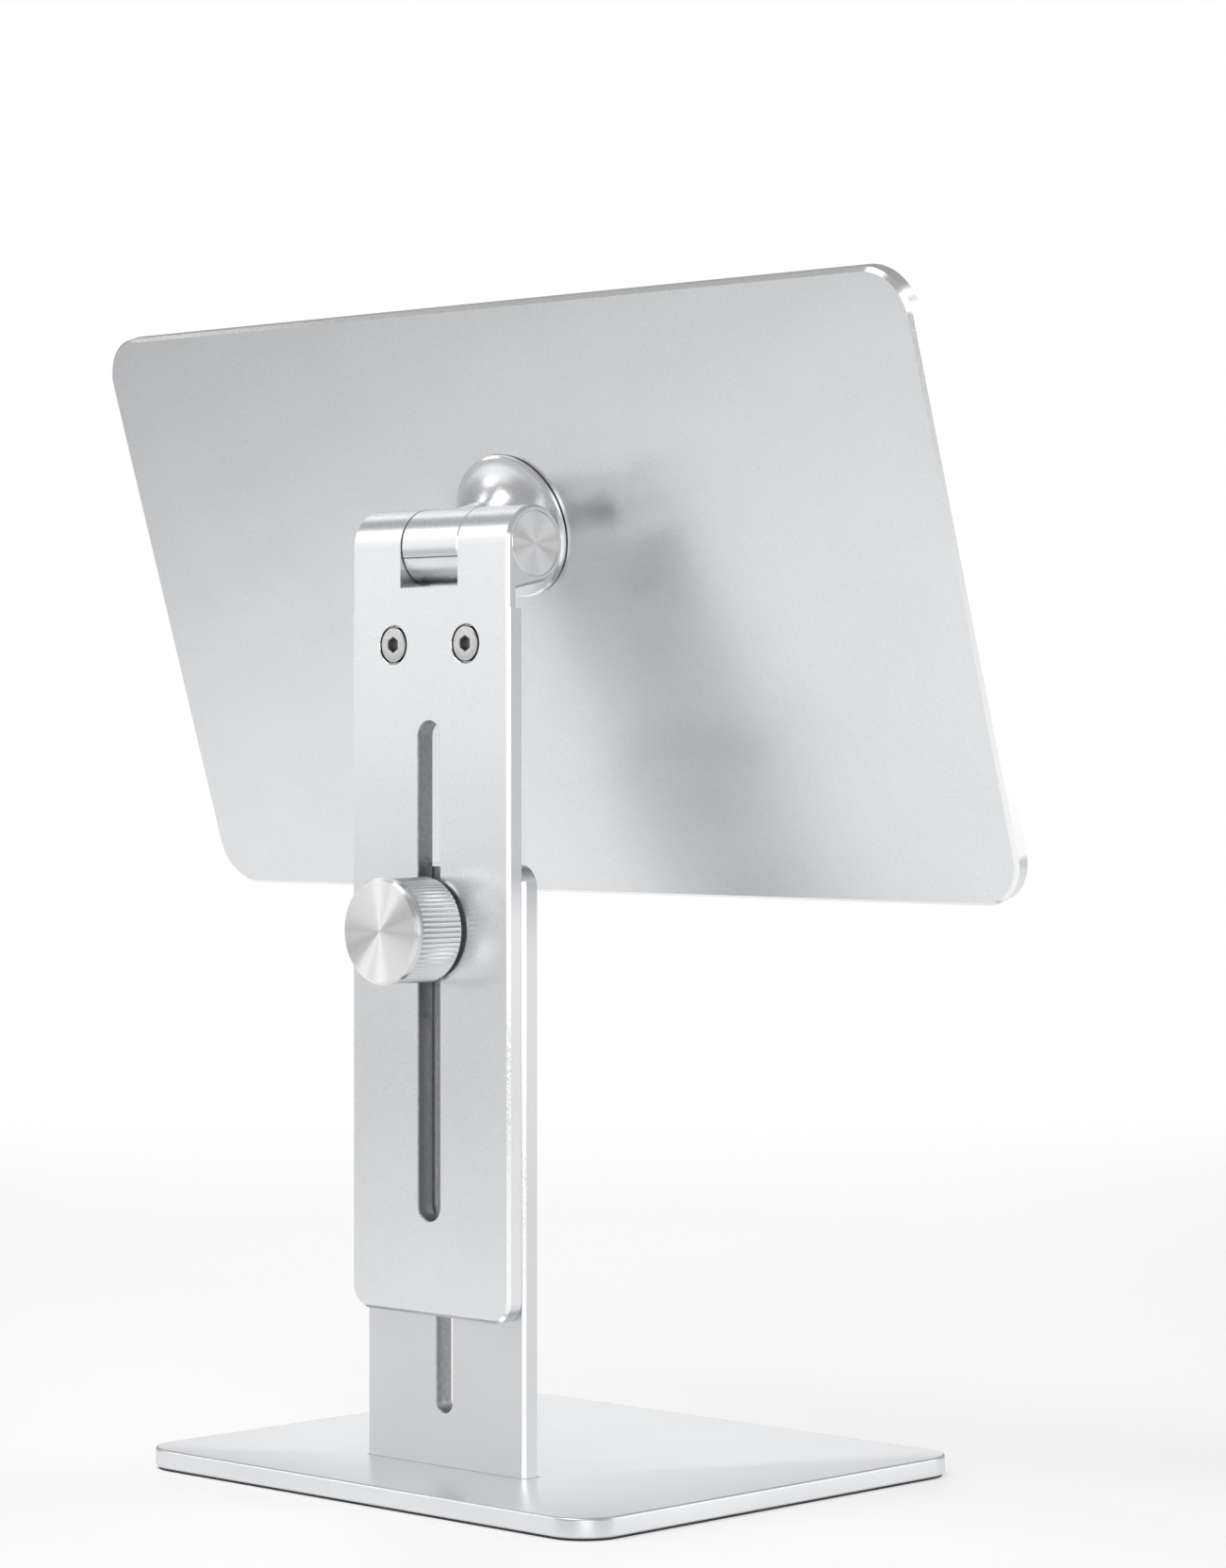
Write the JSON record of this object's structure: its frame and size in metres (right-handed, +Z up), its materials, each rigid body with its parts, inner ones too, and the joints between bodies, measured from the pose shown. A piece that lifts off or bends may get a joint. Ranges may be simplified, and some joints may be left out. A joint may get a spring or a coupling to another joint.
{
  "type": "tablet stand",
  "caption": "Height-adjustable magnetic tablet stand: a flat base, a slotted sliding column with a knurled clamp knob, and a tilting, swivelling plate.",
  "frame": {"origin": "centre of the base's footprint, on the surface that the stand rests on", "axes": "+Z up; -Y towards the user, the side that the tablet faces; +Y to the rear, the side of the clamp knob; +X across the stand"},
  "size_m": [0.2524, 0.1222, 0.2631],
  "materials": {
    "alu_silver": "bead-blasted, clear anodised silver with bright machined chamfers",
    "alu_turned": "anodised silver with a fine turned end face",
    "base_silver": "steel plate in a fine satin silver finish",
    "pad_dark": "dark anti-slip silicone",
    "front_silicone": "soft dark silicone, matte",
    "steel_screws": "satin stainless steel",
    "spring_steel": "oiled spring steel",
    "bronze": "sintered bronze",
    "liner_plastic": "natural low-friction plastic",
    "magnet_nickel": "nickel-plated magnets"
  },
  "bodies": {
    "base": {"base_plate": "base_silver", "base_pad": "pad_dark", "column_screws": "steel_screws", "column_lower": "alu_silver", "slide_liners": "liner_plastic", "clamp_nut": "steel_screws"},
    "slider": {"column_upper": "alu_silver", "guide_bush": "liner_plastic", "guide_screw": "steel_screws", "hinge_bracket": "alu_silver", "bracket_screws": "steel_screws", "hinge_pin": "steel_screws", "hinge_nut": "steel_screws", "hinge_flat_washers": "steel_screws", "hinge_disc_springs": "spring_steel", "friction_washers": "liner_plastic", "hinge_caps": "alu_turned"},
    "swivel_arm": {"tilt_knuckle": "alu_silver", "knuckle_bushes": "bronze", "swivel_flange": "alu_silver", "swivel_bolt": "steel_screws", "swivel_washer_front": "liner_plastic", "swivel_washer_rear": "liner_plastic", "swivel_spring": "spring_steel"},
    "plate": {"magnet_plate": "alu_silver", "magnets": "magnet_nickel", "front_pad": "front_silicone"},
    "clamp_washer": {"clamp_washer": "liner_plastic"},
    "knob": {"clamp_knob": "alu_turned", "clamp_stud": "steel_screws"}
  },
  "joints": [
    {"name": "height_slide", "type": "slide", "parent": "base", "child": "slider", "axis": [0, 0, 1], "range_m": [-0.0295, 0.0535]},
    {"name": "tilt", "type": "hinge", "parent": "slider", "child": "swivel_arm", "pos_m": [0, 0.02881, 0.2086], "axis": [-1, 0, 0], "range_deg": [-17.2, 72.8]},
    {"name": "swivel", "type": "hinge", "parent": "swivel_arm", "child": "plate", "pos_m": [0, 0.01129, 0.21402], "axis": [0, 0.9553, -0.2957], "continuous": true},
    {"name": "clamp_travel", "type": "slide", "parent": "base", "child": "clamp_washer", "axis": [0, 1, 0], "range_m": [0, 0.0015]},
    {"name": "clamp_turn", "type": "hinge", "parent": "clamp_washer", "child": "knob", "pos_m": [0, 0.045, 0.124], "axis": [0, 1, 0], "range_deg": [0, 540]}
  ],
  "couplings": [
    {"joint": "clamp_travel", "follows": "clamp_turn", "m_per_rad": 0.00015915}
  ]
}
